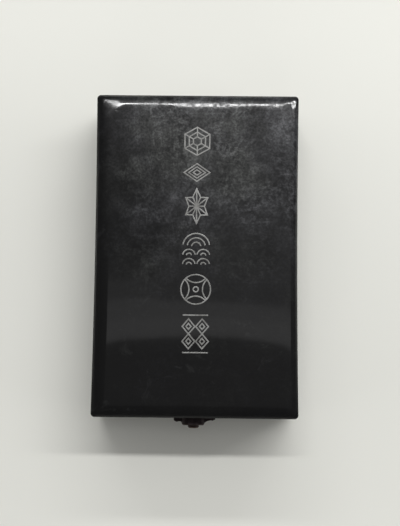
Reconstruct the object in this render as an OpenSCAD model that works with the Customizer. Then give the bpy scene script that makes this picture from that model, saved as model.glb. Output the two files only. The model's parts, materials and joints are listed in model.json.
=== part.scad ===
// Lacquered presentation case: a shallow wooden box with a crowned, hinged lid, a velvet-covered
// fitted tray, a padded silk lid lining, two small butt hinges and a push-button clasp.
// Millimetres, closed. +Z is up, the clasp faces -Y, the hinges are at +Y, and the origin is the
// middle of the underside.

/* [Case] */
// Width across the short sides
case_w = 98; // [94:1:110]
// Length from the clasp face to the hinge face
case_l = 155; // [152:1:180]
// Height of the base, from the underside to its rim
base_h = 22; // [22:1:30]
// Height of the lid's straight walls
lid_wall_h = 8.8; // [8.8:0.2:12]
// Thickness of the base's walls
wall_t = 6.5; // [6.5:0.1:7]
// Radius of the upright outer corners
corner_r = 1.8; // [1:0.1:3]
// Gap between the two rims when closed
rim_gap = 0.2; // [0.15:0.05:0.3]

/* [Lid top] */
// Thickness of the top panel
panel_t = 4.6; // [4.2:0.1:6]
// Width of the rolled edge in plan
roll_w = 6; // [4:0.5:8]
// Height of the rolled edge
roll_h = 3.4; // [2.4:0.1:3.6]
// Width of an inlaid silver line
line_w = 0.75; // [0.5:0.05:1]

/* [Lining] */
// How far the inner lip stands above the base's rim
lip_rise = 3; // [2:0.5:3]
// Thickness of the inner lip
lip_t = 1.5; // [1:0.1:2]
// Thickness of the velvet
velvet_t = 0.7; // [0.5:0.1:1]
// Thickness of the padded silk inside the lid
pad_t = 3.4; // [2.5:0.1:3.6]

/* [Hinges] */
// Distance between the two hinges' middles
hinge_span = 56; // [40:2:60]
// Length of one hinge
hinge_l = 18; // [16:1:22]
// Distance from the back face to the pin's axis
hinge_inset = 1.8; // [1.6:0.1:2]
// Half of the angle of the V that stops the lid
stop_half = 50.5; // [46:0.5:60]

/* [Clasp] */
// Width of the clasp's plates across their wings
clasp_w = 20; // [18:1:24]
// How far the clasp's boss stands out
boss_out = 4.2; // [4.2:0.1:5]
// How far the boss and the button sit off the plates' middle
boss_x = -0.7; // [-1:0.1:0]
// Radius of the push button
button_r = 2.7; // [2.2:0.1:2.8]
// How far the button stands out of its boss
button_out = 1.9; // [1.3:0.1:2.2]

/* [Hidden] */
$fn = 96;
cut = 1;                                   // how far a cutting solid runs past the face it opens
floor_t = 3;                               // floor board
y_front = -case_l / 2;
y_back = case_l / 2;
z_rim = base_h;
z_lid = z_rim + rim_gap;                   // the lid's rim
z_panel = z_lid + lid_wall_h;              // underside of the lid's top panel
z_top = z_panel + panel_t;
lid_wall_t = wall_t - 0.3;                 // leaves room for the lip
in_x = case_w / 2 - wall_t;                // half of the inside of the base
in_y = case_l / 2 - wall_t;
lid_in_x = case_w / 2 - lid_wall_t;        // half of the inside of the lid
lid_in_y = case_l / 2 - lid_wall_t;

// tray
fit = 0.1;                                 // slack of a loose part in its seat
tray_top = 19.6;
recess_floor = 9;
badge_r = 27;
badge_y = -24;
ribbon_hw = 20.5;                          // half of the ribbon recess's width
ribbon_end = 58;
ribbon_corner_r = 3;
recess_pad_t = 2.5;

// inlay
inlay_depth = 0.5;
inlay_proud = 0.05;

// lid lining
board_t = 1;
side_lining_t = 0.8;
pad_gap = 1.2;                             // between the pad and the lid's walls
lining_clear = 0.6;                        // between the lip and the side linings

// hinges: one leaf lies in each rim, and the knuckles sit in the V between the two back walls
y_pin = y_back - hinge_inset;
z_pin = z_rim + rim_gap / 2;
leaf_t = 1;
leaf_back = 0.1;                           // from a leaf's edge to the wall's inner face
knuckle_r = 1.5;
knuckle_clear = 0.15;
knuckle_seat_r = 1.75;
pin_r = 0.7;
pin_head_r = 1.05;
pin_head_t = 0.4;
mid_knuckle = hinge_l / 3;
screw_r = 0.45;
screw_head_r = 0.95;
screw_head_t = 0.55;
screw_l = 4.2;
screw_pitch = 6;
screw_back = 3.05;                         // from the pin's axis to the screws

// clasp: s is the distance out of the front face
clasp_gap = 0.2;
z_plate = z_rim - clasp_gap;               // top of the base's plate
z_hook_plate = z_lid + 0.1;                // bottom of the lid's plate
z_button = z_plate - 6.2;
body_r = 5.8;                              // half of the plates' middle
wing_h = 3.2;
wing_out = 2.1;
wing_tip = 1.25;                           // the right wing thins to this
boss_wall = 0.8;
cavity_hw = 4;
cavity_top = z_plate - 1;
button_travel = 1;
flange_r = 3.1;
flange_t = 0.8;
catch_t = 0.5;
s_catch = boss_out - boss_wall - 0.1;      // the catch's front at rest
s_flange = s_catch - catch_t;
mortise_d = 2.6;
tongue_hw = 1.8;
tongue_in = 0.9;
tongue_out = 1.6;
z_tongue = z_plate - 3;
barb_in = 0.45;
window_z = z_plate - 2.3;
window_t = 0.7;
nail_x = 8.5;
nail_r = 0.4;
nail_head_r = 0.8;
nail_head_h = 0.3;
nail_l = 3.5;                              // how far a nail goes into the wall
spring_turns = 5;
spring_wire_r = 0.2;
spring_r = 1.7;

lacquer = [0.06, 0.06, 0.065];
bronze = [0.20, 0.16, 0.14];
brass = [0.55, 0.42, 0.22];
violet = [0.24, 0.12, 0.34];
cream = [0.90, 0.87, 0.80];

// ---------- shared shapes ----------

// A rectangle centred on the origin with true round corners
module rounded(w, l, r) {
    square([w - 2 * r, l], center = true);
    square([w, l - 2 * r], center = true);
    for (x = [-1, 1], y = [-1, 1])
        translate([x * (w / 2 - r), y * (l / 2 - r)]) circle(r);
}

// The case's outline, from z0 to z1
module outline(z0, z1) {
    translate([0, 0, z0]) linear_extrude(z1 - z0) rounded(case_w, case_l, corner_r);
}

// A box given by its lowest and highest corners
module block(lo, hi) {
    translate(lo) cube(hi - lo);
}

// A 2D shape in (x, z), extruded from s0 to s1 out of the front face
module out_of_front(s0, s1) {
    translate([0, y_front - s0, 0]) rotate([90, 0, 0]) linear_extrude(s1 - s0) children();
}

// A cylinder along X about the hinge axis, centred on x
module about_pin(x, l, r) {
    translate([x, y_pin, z_pin]) rotate([0, 90, 0]) cylinder(h = l, r = r, center = true);
}

// What the two back walls lose behind the pin, so that the lid can turn and then stop on the base.
// up is 1 for the lid's wall and -1 for the base's.
module stop_bevel(up) {
    run = hinge_inset + cut;
    rise = run * tan(stop_half);
    translate([-case_w / 2 - cut, y_pin, z_pin]) rotate([90, 0, 90]) linear_extrude(case_w + 2 * cut)
        polygon([[0, 0], [run, up * rise], [run, -up * cut], [0, -up * cut]]);
}

// From the pin's axis to a leaf's edge
function leaf_w(up) = (up > 0 ? lid_wall_t : wall_t) - hinge_inset - leaf_back;

// The seat that one hinge's leaf, knuckles and screws need in a back wall
module hinge_seat(x, up) {
    z0 = up > 0 ? z_lid - cut : z_rim - leaf_t;
    block([x - hinge_l / 2 - 0.05, y_pin - leaf_w(up) - cut, z0],
          [x + hinge_l / 2 + 0.05, y_pin, z0 + leaf_t + cut]);
    about_pin(x, hinge_l + 2 * pin_head_t + 0.4, knuckle_seat_r);
    screws_at(x, up, 0.02);
}

// ---------- base ----------

module base_wall(lo, hi) {
    color(lacquer) intersection() {
        outline(floor_t, z_rim);
        block([lo.x, lo.y, floor_t], [hi.x, hi.y, z_rim]);
    }
}

module base_floor_board() {
    color(lacquer) outline(0, floor_t);
}

module base_front_wall() {
    color(lacquer) difference() {
        base_wall([-case_w / 2, y_front], [case_w / 2, y_front + wall_t]);
        out_of_front(-mortise_d, cut) clasp_cavity();
        for (x = [-nail_x, nail_x]) nail_hole(x, z_plate - wing_h / 2);
    }
}

module base_back_wall() {
    color(lacquer) difference() {
        base_wall([-case_w / 2, y_back - wall_t], [case_w / 2, y_back]);
        stop_bevel(-1);
        for (x = [-1, 1]) hinge_seat(x * hinge_span / 2, -1);
    }
}

module base_side_wall(side) {
    x0 = side < 0 ? -case_w / 2 : in_x;
    base_wall([x0, -in_y], [x0 + wall_t, in_y]);
}

module lip_end_strip(side) {
    y0 = side < 0 ? -in_y : in_y - lip_t;
    color(lacquer) block([-in_x, y0, floor_t], [in_x, y0 + lip_t, z_rim + lip_rise]);
}

module lip_side_strip(side) {
    x0 = side < 0 ? -in_x : in_x - lip_t;
    color(lacquer) block([x0, -in_y + lip_t, floor_t], [x0 + lip_t, in_y - lip_t, z_rim + lip_rise]);
}

// ---------- fitted tray ----------

// The recess for a round badge and its folded ribbon, drawn in by inset all round
module recess(inset) {
    hw = ribbon_hw - inset;
    end = ribbon_end - inset;
    r = ribbon_corner_r;
    translate([0, badge_y]) circle(badge_r - inset);
    translate([-hw, badge_y]) square([2 * hw, end - badge_y - r]);
    translate([-hw + r, badge_y]) square([2 * (hw - r), end - badge_y]);
    for (x = [-1, 1]) translate([x * (hw - r), end - r]) circle(r);
}

module tray_plan(slack) {
    square([2 * (in_x - lip_t - slack), 2 * (in_y - lip_t - slack)], center = true);
}

module tray_block() {
    color("peru") difference() {
        translate([0, 0, floor_t]) linear_extrude(tray_top - floor_t) tray_plan(fit);
        translate([0, 0, recess_floor]) linear_extrude(tray_top) recess(0);
    }
}

module tray_velvet() {
    color(violet) difference() {
        union() {
            translate([0, 0, tray_top]) linear_extrude(velvet_t) tray_plan(fit);
            translate([0, 0, recess_floor]) linear_extrude(tray_top + velvet_t - recess_floor) recess(0);
        }
        translate([0, 0, recess_floor + velvet_t]) linear_extrude(tray_top) recess(velvet_t);
    }
}

module recess_pad() {
    color(violet) translate([0, 0, recess_floor + velvet_t]) linear_extrude(recess_pad_t)
        recess(velvet_t + 0.4);
}

// ---------- hinges ----------

// Countersunk screws down one leaf, up 1 in the lid and -1 in the base, grown by slack
module screws_at(x, up, slack) {
    z_face = up > 0 ? z_lid : z_rim;
    for (i = [-1:1])
        translate([x + i * screw_pitch, y_pin - screw_back, z_face]) mirror([0, 0, up > 0 ? 1 : 0])
            rotate([180, 0, 0]) {
                cylinder(h = screw_l + slack, r = screw_r + slack);
                cylinder(h = screw_head_t, r1 = screw_head_r + slack, r2 = screw_r + slack);
            }
}

module hinge_screws(up) {
    z_face = up > 0 ? z_lid : z_rim;
    slot = 0.25;
    color(brass) difference() {
        for (x = [-1, 1]) screws_at(x * hinge_span / 2, up, 0);
        for (x = [-1, 1], i = [-1:1])
            translate([x * hinge_span / 2 + i * screw_pitch, y_pin - screw_back, z_face])
                cube([2 * screw_head_r + cut, slot, 2 * slot], center = true);
    }
}

// up 1 is the lid's leaf, with the middle knuckle, and -1 the base's, with the two outer ones
module hinge_leaf(x, up) {
    z0 = up > 0 ? z_lid : z_rim - leaf_t;
    outer_l = (hinge_l - mid_knuckle) / 2 - 0.1;
    outer_x = (hinge_l - outer_l) / 2;
    bore_r = up > 0 ? pin_r + 0.04 : pin_r + 0.01;
    color(brass) difference() {
        union() {
            block([x - hinge_l / 2, y_pin - leaf_w(up), z0], [x + hinge_l / 2, y_pin, z0 + leaf_t]);
            if (up > 0) about_pin(x, mid_knuckle, knuckle_r);
            else for (side = [-1, 1]) about_pin(x + side * outer_x, outer_l, knuckle_r);
        }
        about_pin(x, hinge_l + cut, bore_r);
        if (up > 0) for (side = [-1, 1])
            about_pin(x + side * (mid_knuckle / 2 + outer_l), 2 * outer_l, knuckle_r + knuckle_clear);
        else about_pin(x, hinge_l - 2 * outer_l, knuckle_r + knuckle_clear);
        screws_at(x, up, 0.02);
    }
}

module hinge_pin(x) {
    color(brass) {
        about_pin(x, hinge_l, pin_r);
        for (side = [-1, 1]) about_pin(x + side * (hinge_l + pin_head_t) / 2, pin_head_t, pin_head_r);
    }
}

// ---------- clasp ----------

// Front view of the base's plate: two wings, and a middle that ends in a half round
module base_plate_front() {
    translate([0, z_plate - wing_h / 2]) rounded(clasp_w, wing_h, 1);
    translate([boss_x - body_r, z_button]) square([2 * body_r, z_plate - z_button]);
    translate([boss_x, z_button]) circle(body_r);
}

// Front view of the lid's plate: the same wings under a low arch
module lid_plate_front() {
    arch_h = 6;
    translate([0, z_hook_plate + wing_h / 2]) rounded(clasp_w, wing_h, 1);
    intersection() {
        translate([boss_x - body_r, z_hook_plate]) square([2 * body_r, arch_h]);
        translate([boss_x, z_hook_plate + arch_h - body_r]) circle(body_r * 1.08);
    }
}

// How far the face of the right wing stands out: it swells slowly from the tip, then up to the boss
right_tip_x = clasp_w / 2 - 0.3;
right_foot_x = boss_x + 5;
function right_face(x, out) =
    let (u = (right_tip_x - x) / (right_tip_x - right_foot_x))
    wing_tip + 0.75 * u + (out - 0.1 - wing_tip - 0.75) * pow(u, 6);

// Plans of the two sides of both plates
function left_side(out) =
    let (boss_hw = 5.3, flare_w = 0.9, rise = out - wing_out - 0.4)
    concat([[-clasp_w / 2, -cut], [-clasp_w / 2, wing_out - 0.6], [-clasp_w / 2 + 0.6, wing_out]],
           [for (a = [0:15:90]) [boss_x - boss_hw - flare_w + (flare_w - 0.1) * sin(a),
                                 wing_out + rise * (1 - cos(a))]],
           [[boss_x - boss_hw + 0.1, out - 0.3], [boss_x - boss_hw + 0.5, out]]);

function right_side(out) =
    concat([[clasp_w / 2, -cut], [clasp_w / 2, wing_tip - 0.35]],
           [for (i = [0:12]) let (x = right_tip_x + (right_foot_x - right_tip_x) * i / 12)
               [x, right_face(x, out)]],
           [[right_foot_x - 0.4, out]]);

module clasp_plan(out) {
    left = left_side(out);
    intersection() {
        polygon(concat(right_side(out), [for (i = [len(left) - 1:-1:0]) left[i]]));
        translate([-clasp_w, 0]) square([2 * clasp_w, 2 * out]);
    }
}

module clasp_plate(out, z0, z1) {
    intersection() {
        translate([0, y_front, z0]) mirror([0, 1, 0]) linear_extrude(z1 - z0) clasp_plan(out);
        out_of_front(0, out) children();
    }
}

// The room for the catch, the flange and the spring
module clasp_cavity() {
    translate([boss_x - cavity_hw, z_button]) square([2 * cavity_hw, cavity_top - z_button]);
    translate([boss_x, z_button]) circle(cavity_hw);
}

module nail_hole(x, z) {
    out_of_front(-nail_l - 0.05, wing_out + cut) translate([x, z]) circle(nail_r + 0.02);
}

module nails(z) {
    color(bronze) for (x = [-nail_x, nail_x]) {
        face = x < 0 ? wing_out : right_face(x, 3.6);
        out_of_front(-nail_l, face + 0.1) translate([x, z]) circle(nail_r);
        translate([x, y_front - face - 0.06, z]) rotate([90, 0, 0]) rotate_extrude()
            intersection() {
                translate([0, nail_head_h - nail_head_r]) circle(nail_head_r);
                square(nail_head_r);
            }
    }
}

module clasp_base_plate() {
    slot_hw = tongue_hw + 0.3;
    color(bronze) difference() {
        clasp_plate(boss_out, z_button - body_r - cut, z_plate) base_plate_front();
        out_of_front(-cut, boss_out - boss_wall) clasp_cavity();
        out_of_front(0, boss_out + cut) translate([boss_x, z_button]) circle(button_r + 0.08);
        block([boss_x - slot_hw, y_front - tongue_out - 0.3, cavity_top - cut],
              [boss_x + slot_hw, y_front - 0.15, z_rim]);
        for (x = [-nail_x, nail_x]) nail_hole(x, z_plate - wing_h / 2);
    }
}

module clasp_lid_plate() {
    color(bronze) difference() {
        clasp_plate(boss_out - 0.6, z_hook_plate, z_hook_plate + 7) lid_plate_front();
        hook_body(0.02);
        for (x = [-nail_x, nail_x]) nail_hole(x, z_hook_plate + wing_h / 2);
    }
}

// The hook without its tongue: a foot riveted behind the lid's plate
module hook_body(slack) {
    block([boss_x - tongue_hw - slack, y_front - tongue_out - slack, z_hook_plate - cut],
          [boss_x + tongue_hw + slack, y_front, z_hook_plate + 4 + slack]);
}

module clasp_hook() {
    color(bronze) {
        intersection() {
            hook_body(0);
            union() {
                out_of_front(0, 2) translate([boss_x - tongue_hw, z_hook_plate + 1.2])
                    square([2 * tongue_hw, 3]);
                out_of_front(tongue_in, 2) translate([boss_x - tongue_hw, z_hook_plate])
                    square([2 * tongue_hw, 5]);
            }
        }
        block([boss_x - tongue_hw, y_front - tongue_out, z_tongue],
              [boss_x + tongue_hw, y_front - tongue_in, z_hook_plate]);
        translate([boss_x - tongue_hw, y_front, 0]) rotate([90, 0, 90]) linear_extrude(2 * tongue_hw)
            polygon([[-tongue_in, z_tongue], [-barb_in, z_tongue + 0.4],
                     [-barb_in, z_tongue + 0.6], [-tongue_in, z_tongue + 0.6]]);
    }
}

module clasp_button() {
    edge_r = 0.6;
    tip = boss_out + button_out;
    color(bronze) {
        out_of_front(s_flange - flange_t, s_flange) translate([boss_x, z_button]) circle(flange_r);
        translate([boss_x, y_front, z_button]) rotate([90, 0, 0]) rotate_extrude() {
            translate([0, s_flange]) square([button_r, tip - s_flange - edge_r]);
            translate([0, s_flange]) square([button_r - edge_r, tip - s_flange]);
            translate([button_r - edge_r, tip - edge_r]) circle(edge_r);
        }
        out_of_front(s_flange - flange_t - 1.2, s_flange - flange_t) translate([boss_x, z_button])
            circle(0.9);
    }
}

// A bent plate: an upright with the button staked through it, and a flat with a window for the hook
module clasp_catch() {
    leg_hw = 3.5;
    inner_edge = barb_in - 0.1;
    color(brass) difference() {
        union() {
            out_of_front(s_flange, s_catch) {
                translate([boss_x, z_button]) circle(leg_hw);
                translate([boss_x - leg_hw, z_button])
                    square([2 * leg_hw, window_z + window_t - z_button]);
            }
            block([boss_x - leg_hw, y_front - s_catch, window_z],
                  [boss_x + leg_hw, y_front + 1, window_z + window_t]);
        }
        out_of_front(-cut, s_catch + cut) translate([boss_x, z_button]) circle(button_r + 0.02);
        block([boss_x - tongue_hw - 0.4, y_front - s_flange, window_z - cut],
              [boss_x + tongue_hw + 0.4, y_front - inner_edge, window_z + window_t + cut]);
    }
}

// Compression spring behind the button, swept along a helix whose axis is -Y
function ring_points(turn, rings) = [
    for (i = [0:rings])
        let (a = 360 * turn * i / rings, s = spring_s0 + spring_pitch(i / rings))
            for (k = [0:7]) let (b = 45 * k, r = spring_r + spring_wire_r * cos(b))
                [boss_x + r * cos(a), y_front - s - spring_wire_r * sin(b), z_button + r * sin(a)]
];
spring_s0 = -mortise_d + spring_wire_r + 0.02;
spring_s1 = s_flange - flange_t - spring_wire_r - 0.02;
function spring_pitch(t) = (spring_s1 - spring_s0) * t;

module clasp_spring() {
    rings = 16 * spring_turns;
    start_cap = [[for (k = [0:7]) k]];
    end_cap = [[for (k = [7:-1:0]) rings * 8 + k]];
    sides = [for (i = [0:rings - 1], k = [0:7]) let (n = (k + 1) % 8)
        [i * 8 + k, (i + 1) * 8 + k, (i + 1) * 8 + n, i * 8 + n]];
    color("silver") polyhedron(ring_points(spring_turns, rings), concat(start_cap, sides, end_cap), 4);
}

// ---------- lid ----------

module lid_wall(lo, hi) {
    color(lacquer) intersection() {
        outline(z_lid, z_panel);
        block([lo.x, lo.y, z_lid], [hi.x, hi.y, z_panel]);
    }
}

module lid_front_wall() {
    color(lacquer) difference() {
        lid_wall([-case_w / 2, y_front], [case_w / 2, y_front + lid_wall_t]);
        for (x = [-nail_x, nail_x]) nail_hole(x, z_hook_plate + wing_h / 2);
    }
}

module lid_back_wall() {
    color(lacquer) difference() {
        lid_wall([-case_w / 2, y_back - lid_wall_t], [case_w / 2, y_back]);
        stop_bevel(1);
        for (x = [-1, 1]) hinge_seat(x * hinge_span / 2, 1);
    }
}

module lid_side_wall(side) {
    x0 = side < 0 ? -case_w / 2 : lid_in_x;
    lid_wall([x0, -lid_in_y], [x0 + lid_wall_t, lid_in_y]);
}

// The section of the lid's top across a width of 2 * half: straight edges, rolled shoulders, flat middle
module rolled_section(half) {
    z_edge = z_top - roll_h;
    roll = [for (a = [0:6:90]) [half - roll_w * (1 - cos(a)), z_edge + roll_h * sin(a)]];
    polygon(concat([[-half, z_panel], [half, z_panel]], roll,
                   [for (i = [len(roll) - 1:-1:0]) [-roll[i].x, roll[i].y]]));
}

module lid_top_panel() {
    color(lacquer) difference() {
        intersection() {
            outline(z_panel, z_top + cut);
            translate([0, y_back, 0]) rotate([90, 0, 0]) linear_extrude(case_l) rolled_section(case_w / 2);
            translate([-case_w / 2, 0, 0]) rotate([90, 0, 90]) linear_extrude(case_w)
                rolled_section(case_l / 2);
        }
        translate([0, 0, z_top - inlay_depth]) linear_extrude(panel_t) inlay_lines();
    }
}

module lid_inlay() {
    color("silver") translate([0, 0, z_top - inlay_depth]) linear_extrude(inlay_depth + inlay_proud)
        inlay_lines();
}

// Line ornaments, all of one line width: a straight stroke, a closed band and a ring
module stroke(p, q) {
    d = q - p;
    translate(p) rotate(atan2(d.y, d.x)) translate([0, -line_w / 2]) square([norm(d), line_w]);
}

// The band's sides pass the origin at the distance reach
module band(points, reach) {
    difference() {
        polygon(points * (1 + line_w / 2 / reach));
        polygon(points * (1 - line_w / 2 / reach));
    }
}

module diamond(a, b) {
    band([[a, 0], [0, b], [-a, 0], [0, -b]], a * b / norm([a, b]));
}

module ring(r) {
    difference() {
        circle(r + line_w / 2);
        circle(r - line_w / 2);
    }
}

// An arc of a ring, from angle a0 to a1, under 180 degrees
module arc(r, a0, a1) {
    mid = (a0 + a1) / 2;
    far = 4 * r;
    intersection() {
        ring(r);
        polygon([[0, 0], spoke(far, a0), spoke(far, mid), spoke(far, a1)]);
    }
}

function spoke(r, a) = r * [cos(a), sin(a)];

// Three nested hexagons joined at their corners
module tortoise_shell() {
    radii = [2.2, 4.5, 6.9];
    for (r = radii) band([for (a = [30:60:330]) spoke(r, a)], r * cos(30));
    for (a = [30:60:330]) stroke(spoke(radii[0], a), spoke(radii[2], a));
}

// Three nested flat diamonds
module flat_diamonds() {
    for (k = [0.3, 0.65, 1]) diamond(6.2 * k, 4.3 * k);
}

// A tall hemp leaf with six points
module hemp_leaf() {
    reach = 3.4;
    tip = [for (a = [30:60:330]) [6 * cos(a), 8.3 * sin(a)]];
    notch = [for (a = [60:60:360]) [3.7 * cos(a), 4.9 * sin(a)]];
    band([for (i = [0:5], p = [tip[i], notch[i]]) p], reach);
    for (i = [0:5], p = [tip[i], notch[i]]) stroke([0, 0], p);
    circle(1.1);
}

// Three nested waves over a smaller pair
module waves() {
    for (r = [2.2, 4.3, 6.4]) translate([0, 0.8]) arc(r, 10, 170);
    for (x = [-3.4, 3.4], r = [1.2, 3]) translate([x, -3.4]) arc(r, 10, 170);
    for (x = [-3.4, 3.4], r = [1.2, 3]) translate([x, -7.8]) arc(r, 10, 170);
}

// A ring crossed by four arcs
module linked_rings() {
    ring(7);
    for (a = [0:90:270]) rotate(a) translate([9.4, 0]) arc(6.2, 180 - 46, 180 + 46);
    ring(1.2);
}

// A tall diamond lattice between two bars
module lattice() {
    for (y = [-8.8, 8.8]) stroke([-6, y], [6, y]);
    for (x = [-3.2, 3.2], y = [-3.5, 3.5], k = [0.4, 1]) translate([x, y]) diamond(3 * k, 3.5 * k);
}

module inlay_lines() {
    translate([0, 54.2]) tortoise_shell();
    translate([0, 39]) flat_diamonds();
    translate([0, 22.7]) hemp_leaf();
    translate([0, 2.4]) waves();
    translate([0, -17]) linked_rings();
    translate([0, -38]) lattice();
}

module lid_lining_board() {
    color("tan") block([-lid_in_x + 0.2, -lid_in_y + 0.2, z_panel - board_t],
                       [lid_in_x - 0.2, lid_in_y - 0.2, z_panel]);
}

module lid_satin_pad() {
    z1 = z_panel - board_t;
    color(cream) translate([0, 0, z1 - pad_t]) linear_extrude(pad_t)
        rounded(2 * (lid_in_x - pad_gap), 2 * (lid_in_y - pad_gap), 2);
}

module lid_end_lining(side) {
    y0 = side < 0 ? -lid_in_y : lid_in_y - side_lining_t;
    color(cream) block([-lid_in_x, y0, z_rim + lip_rise + lining_clear],
                       [lid_in_x, y0 + side_lining_t, z_panel - board_t]);
}

module lid_side_lining(side) {
    x0 = side < 0 ? -lid_in_x : lid_in_x - side_lining_t;
    color(cream) block([x0, -lid_in_y + side_lining_t, z_rim + lip_rise + lining_clear],
                       [x0 + side_lining_t, lid_in_y - side_lining_t, z_panel - board_t]);
}

// ---------- nodes ----------

base_floor_board();
base_front_wall();
base_back_wall();
base_side_wall(-1);  // base_left_wall
base_side_wall(1);  // base_right_wall
lip_end_strip(-1);  // lip_front_strip
lip_end_strip(1);  // lip_back_strip
lip_side_strip(-1);  // lip_left_strip
lip_side_strip(1);  // lip_right_strip
tray_block();
tray_velvet();
recess_pad();
hinge_leaf(-hinge_span / 2, -1);  // hinge_left_base_leaf
hinge_leaf(hinge_span / 2, -1);  // hinge_right_base_leaf
hinge_pin(-hinge_span / 2);  // hinge_left_pin
hinge_pin(hinge_span / 2);  // hinge_right_pin
hinge_screws(-1);  // hinge_base_screws
clasp_base_plate();
clasp_spring();
nails(z_plate - wing_h / 2);  // clasp_base_nails
lid_top_panel();
lid_front_wall();
lid_back_wall();
lid_side_wall(-1);  // lid_left_wall
lid_side_wall(1);  // lid_right_wall
lid_inlay();
lid_lining_board();
lid_satin_pad();
lid_end_lining(-1);  // lid_front_lining
lid_end_lining(1);  // lid_back_lining
lid_side_lining(-1);  // lid_left_lining
lid_side_lining(1);  // lid_right_lining
hinge_leaf(-hinge_span / 2, 1);  // hinge_left_lid_leaf
hinge_leaf(hinge_span / 2, 1);  // hinge_right_lid_leaf
hinge_screws(1);  // hinge_lid_screws
clasp_lid_plate();
clasp_hook();
nails(z_hook_plate + wing_h / 2);  // clasp_lid_nails
clasp_button();
clasp_catch();
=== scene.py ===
import bpy
import bmesh
import json
import math
from mathutils import Matrix, Vector, noise


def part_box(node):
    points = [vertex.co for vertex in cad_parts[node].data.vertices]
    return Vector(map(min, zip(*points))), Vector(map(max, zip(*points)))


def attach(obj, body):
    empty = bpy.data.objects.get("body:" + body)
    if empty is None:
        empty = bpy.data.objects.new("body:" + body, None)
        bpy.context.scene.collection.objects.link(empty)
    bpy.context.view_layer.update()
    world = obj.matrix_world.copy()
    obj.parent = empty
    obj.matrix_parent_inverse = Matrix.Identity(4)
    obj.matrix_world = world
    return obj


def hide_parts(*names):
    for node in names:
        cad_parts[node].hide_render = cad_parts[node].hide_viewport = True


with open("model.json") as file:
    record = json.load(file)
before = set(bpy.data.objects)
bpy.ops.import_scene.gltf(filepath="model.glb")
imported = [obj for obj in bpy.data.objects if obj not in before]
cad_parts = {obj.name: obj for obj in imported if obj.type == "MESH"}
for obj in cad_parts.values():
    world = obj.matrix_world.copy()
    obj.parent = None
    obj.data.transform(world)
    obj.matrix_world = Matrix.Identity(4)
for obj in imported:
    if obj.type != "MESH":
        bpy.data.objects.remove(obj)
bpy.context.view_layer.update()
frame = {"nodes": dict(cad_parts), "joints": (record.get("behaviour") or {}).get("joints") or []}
mm = 0.001

# ----- sizes read from the frame, in metres -----

half_x, half_y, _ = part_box("base_floor_board")[1]
z_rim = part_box("base_left_wall")[1].z
z_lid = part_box("lid_left_wall")[0].z
z_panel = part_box("lid_top_panel")[0].z
z_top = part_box("lid_top_panel")[1].z
base_in_x, base_in_y = -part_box("base_left_wall")[1].x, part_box("base_left_wall")[1].y
lid_in_x, lid_in_y = -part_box("lid_left_wall")[1].x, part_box("lid_left_wall")[1].y
hinge = next(j for j in frame["joints"] if j["name"] == "lid_hinge")
y_pin, z_pin = hinge["pos_m"][1], hinge["pos_m"][2]
corner_r = 1.8 * mm
crown = 0.55 * mm
stop_slope = math.tan(math.radians(50.5))
vee_gap = 0.08 * mm  # from the pin's axis to the foot of the V between the back walls


# ----- node material helpers -----

def rgba(v):
    """A grey or a colour of three numbers, as a colour socket takes it."""
    return (v, v, v, 1) if isinstance(v, (int, float)) else (*v, 1)


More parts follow.
